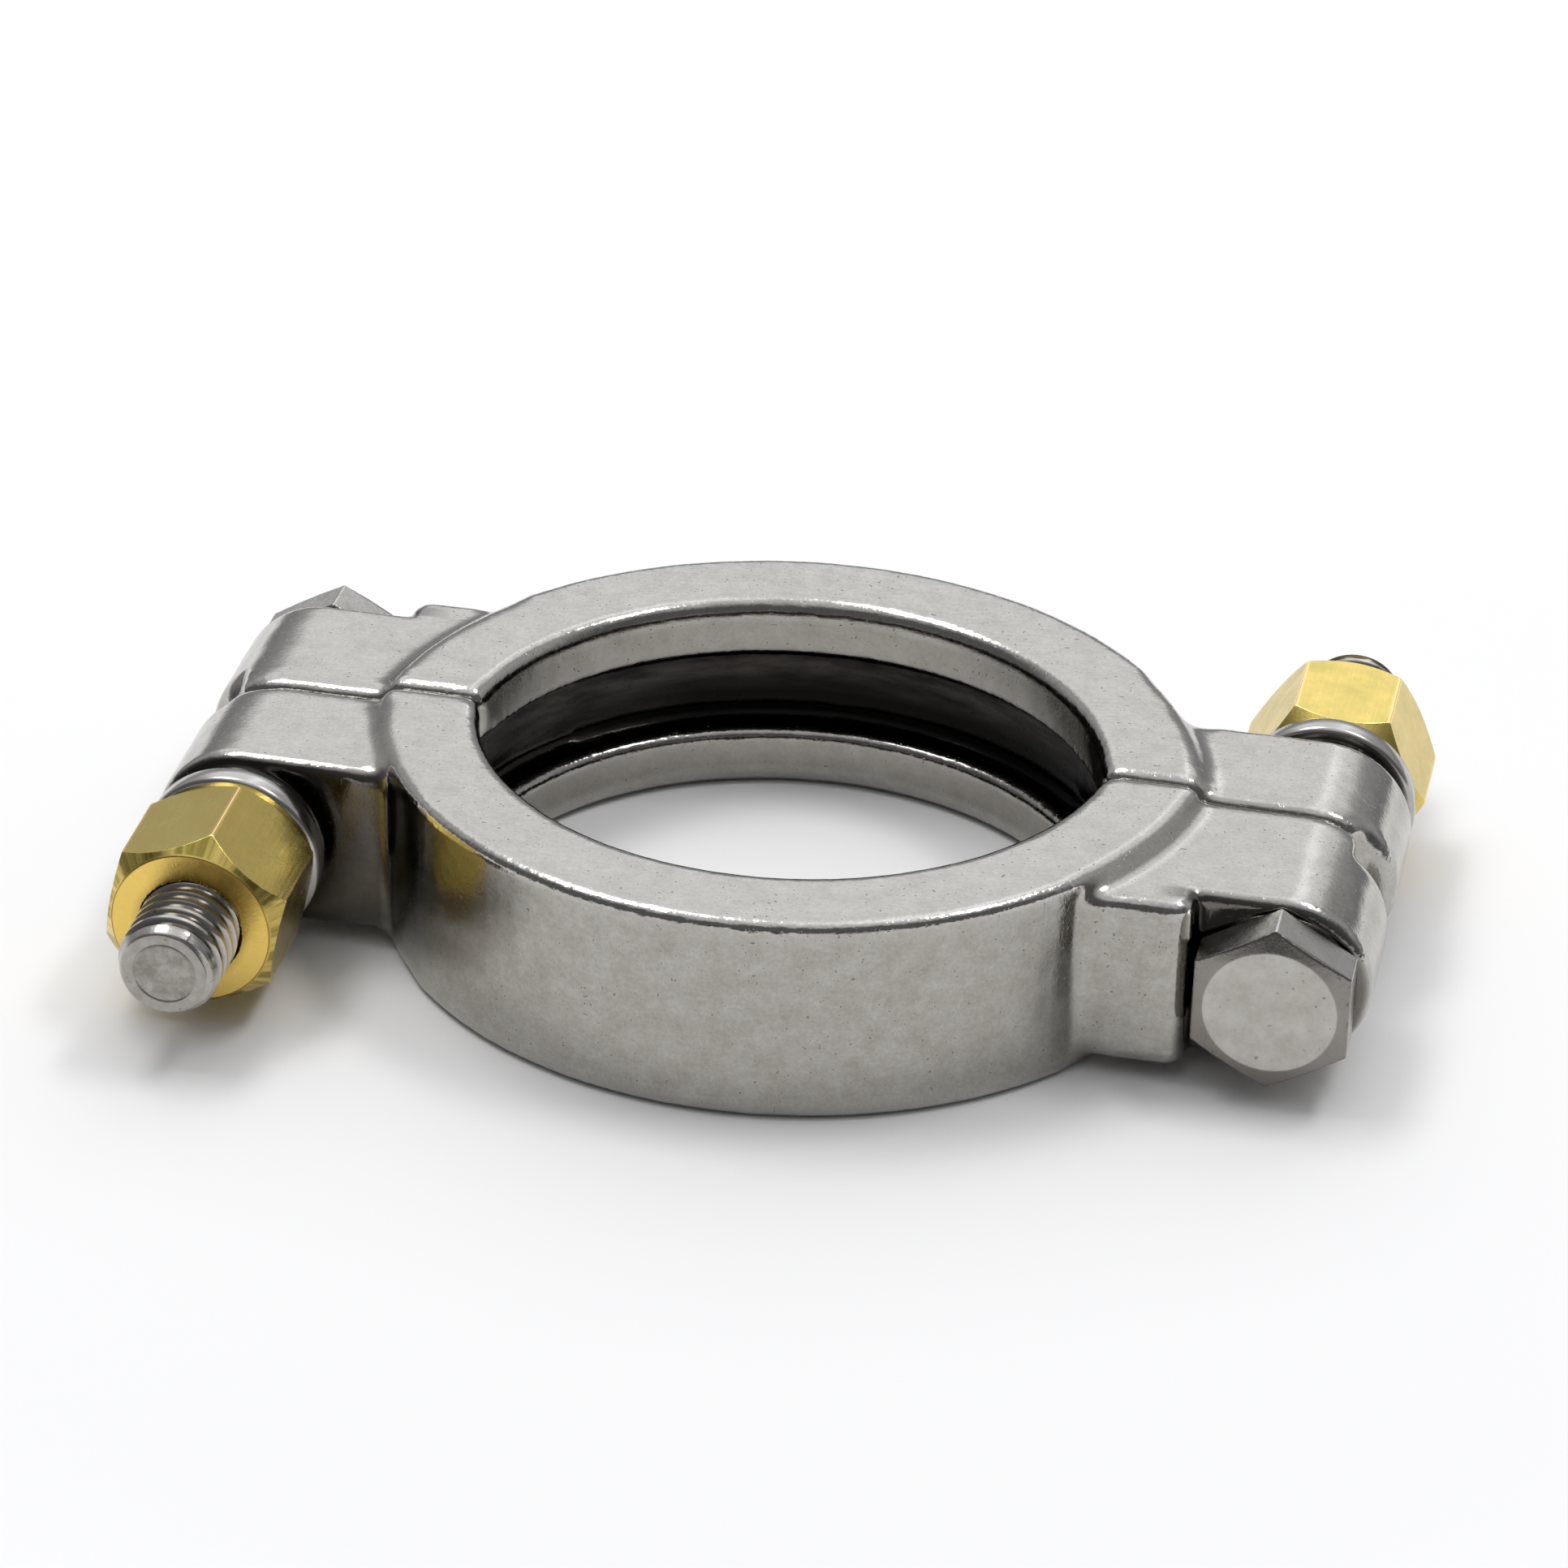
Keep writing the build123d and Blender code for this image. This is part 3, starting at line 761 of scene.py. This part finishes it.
# Painted shade: the nut's face is darker round the bore.
shaded_near_bore = over(tree, near_bore.outputs["Result"], tarnished, (0.45, 0.30, 0.08, 1))
cone_place = reckon(tree, "ADD", along, reckon(tree, "MULTIPLY", radius, nut_slope))
cone_end = nut_high + nut_face_r * nut_slope
coned = reckon(tree, "MULTIPLY", between(tree, radius, nut_face_r + 0.0001, nut_face_r + 0.0002),
               between(tree, cone_place, cone_end - 0.00006, cone_end - 0.00002))
# Painted reflections: dark and bright streaks round the chamfer at the nut's far end.
beams = shade(tree, "TexNoise", {"Vector": spoke_place.outputs[0], "Scale": 9.0, "Detail": 2.0})
chamfer_reflection_streaks = tint(tree, between(tree, beams.outputs["Fac"], 0.4, 0.6), (0.20, 0.16, 0.03, 1),
              (0.78, 0.58, 0.17, 1))
chamfer_painted_reflection = over(tree, reckon(tree, "MULTIPLY", coned, 0.75), shaded_near_bore, chamfer_reflection_streaks)
nut_corner_r = nut_af / sqrt(3)
corner_edge = between(tree, radius, nut_corner_r - 0.00016, nut_corner_r - 0.00008)
corner_wear_and_wall_shade = over(tree, corner_edge, chamfer_painted_reflection, (0.98, 0.66, 0.26, 1))
tree.links.new(over(tree, rimmed, corner_wear_and_wall_shade, (0.36, 0.22, 0.05, 1)), skin.inputs["Base Color"])
satin = shade(tree, "MapRange", {"Value": marks.outputs["Patches"], "To Min": 0.20, "To Max": 0.30})
tree.links.new(satin.outputs["Result"], skin.inputs["Roughness"])
bump = shade(tree, "Bump", {"Height": lined.outputs["Result"], "Strength": 0.5, "Distance": 0.00003})
tree.links.new(bump.outputs["Normal"], skin.inputs["Normal"])


def nut(node, name, body, side, corner):
    """A brass nut, with a corner at an angle about the bolt from its outward side downwards."""
    rim_r = nut_af / sqrt(3) + 0.0008
    rim_in = (rim_r - nut_face_r) * nut_slope
    piece = turned(name, [(0, nut_low), (nut_face_r, nut_low), (rim_r, nut_low + rim_in),
                          (rim_r, nut_high - rim_in), (nut_face_r, nut_high), (0, nut_high)])
    cut(piece, hexagon("hexagon", nut_af, nut_low - 0.001, nut_high + 0.001, corner), "INTERSECT")
    bore = turned("bore", [(0, nut_low - 0.001), (nut_bore_r + nut_sink + 0.001, nut_low - 0.001),
                           (nut_bore_r, nut_low + nut_sink), (nut_bore_r, nut_high - nut_sink),
                           (nut_bore_r + nut_sink + 0.001, nut_high + 0.001), (0, nut_high + 0.001)])
    cut(piece, bore, "DIFFERENCE")
    piece.data.materials.clear()
    piece.data.materials.append(brass)
    pick(piece)
    bpy.ops.object.shade_smooth()
    finish_with(piece, "BEVEL", width=nut_edge, segments=2, limit_method="ANGLE", angle_limit=radians(20),
                harden_normals=True)
    lay(piece, side)
    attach(piece, body)
    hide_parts(node)
    return piece


nut("right_nut", "rear_brass_nut", "right_nut_body", "right", radians(4.1))
nut("left_nut", "front_brass_nut", "left_nut_body", "left", radians(19.4))
